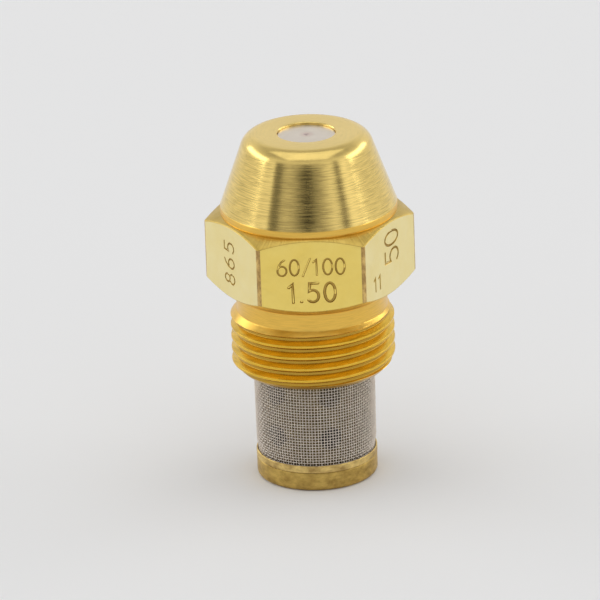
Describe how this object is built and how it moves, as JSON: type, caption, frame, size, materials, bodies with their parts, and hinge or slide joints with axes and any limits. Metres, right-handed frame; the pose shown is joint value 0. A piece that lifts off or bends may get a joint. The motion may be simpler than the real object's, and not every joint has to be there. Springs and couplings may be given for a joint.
{
  "type": "oil burner nozzle",
  "caption": "Brass pressure-atomising oil burner nozzle: hexagon and threaded body, steel orifice disc, swirl cone, lock screw and push-in wire-cloth strainer.",
  "frame": {"origin": "centre of the underside of the strainer's end cap, the lowest point of the nozzle", "axes": "+Z along the nozzle's axis in the direction of the spray, two flats of the hexagon facing -Y and +Y"},
  "size_m": [0.0182, 0.0158, 0.0314],
  "materials": {
    "body_brass": "bright turned brass with fine tool lines",
    "inner_brass": "plain machined brass",
    "cap_brass": "dull, mottled brass",
    "stainless": "lapped stainless steel",
    "wire_cloth": "plain-woven stainless wire cloth"
  },
  "bodies": {
    "body": {"nozzle_body": "body_brass"},
    "disc": {"orifice_disc": "stainless"},
    "cone": {"swirl_cone": "stainless"},
    "screw": {"lock_screw": "inner_brass"},
    "strainer": {"filter_collar": "inner_brass", "filter_core": "inner_brass", "filter_mesh": "wire_cloth", "upper_clamp_ring": "cap_brass", "lower_clamp_ring": "cap_brass", "end_cap": "cap_brass"}
  },
  "joints": [
    {"name": "strainer_pull", "type": "slide", "parent": "body", "child": "strainer", "axis": [0, 0, -1], "range_m": [0, 0.006]},
    {"name": "cone_travel", "type": "slide", "parent": "body", "child": "cone", "axis": [0, 0, -1], "range_m": [0, 0.003]},
    {"name": "disc_travel", "type": "slide", "parent": "body", "child": "disc", "axis": [0, 0, -1], "range_m": [0, 0.003]},
    {"name": "lock_screw_turn", "type": "hinge", "parent": "cone", "child": "screw", "pos_m": [0, 0, 0.0225], "axis": [0, 0, -1], "range_deg": [0, 1440]}
  ],
  "couplings": [
    {"joint": "lock_screw_turn", "follows": "cone_travel", "rad_per_m": 8377.6},
    {"joint": "disc_travel", "follows": "cone_travel", "ratio": 1}
  ]
}
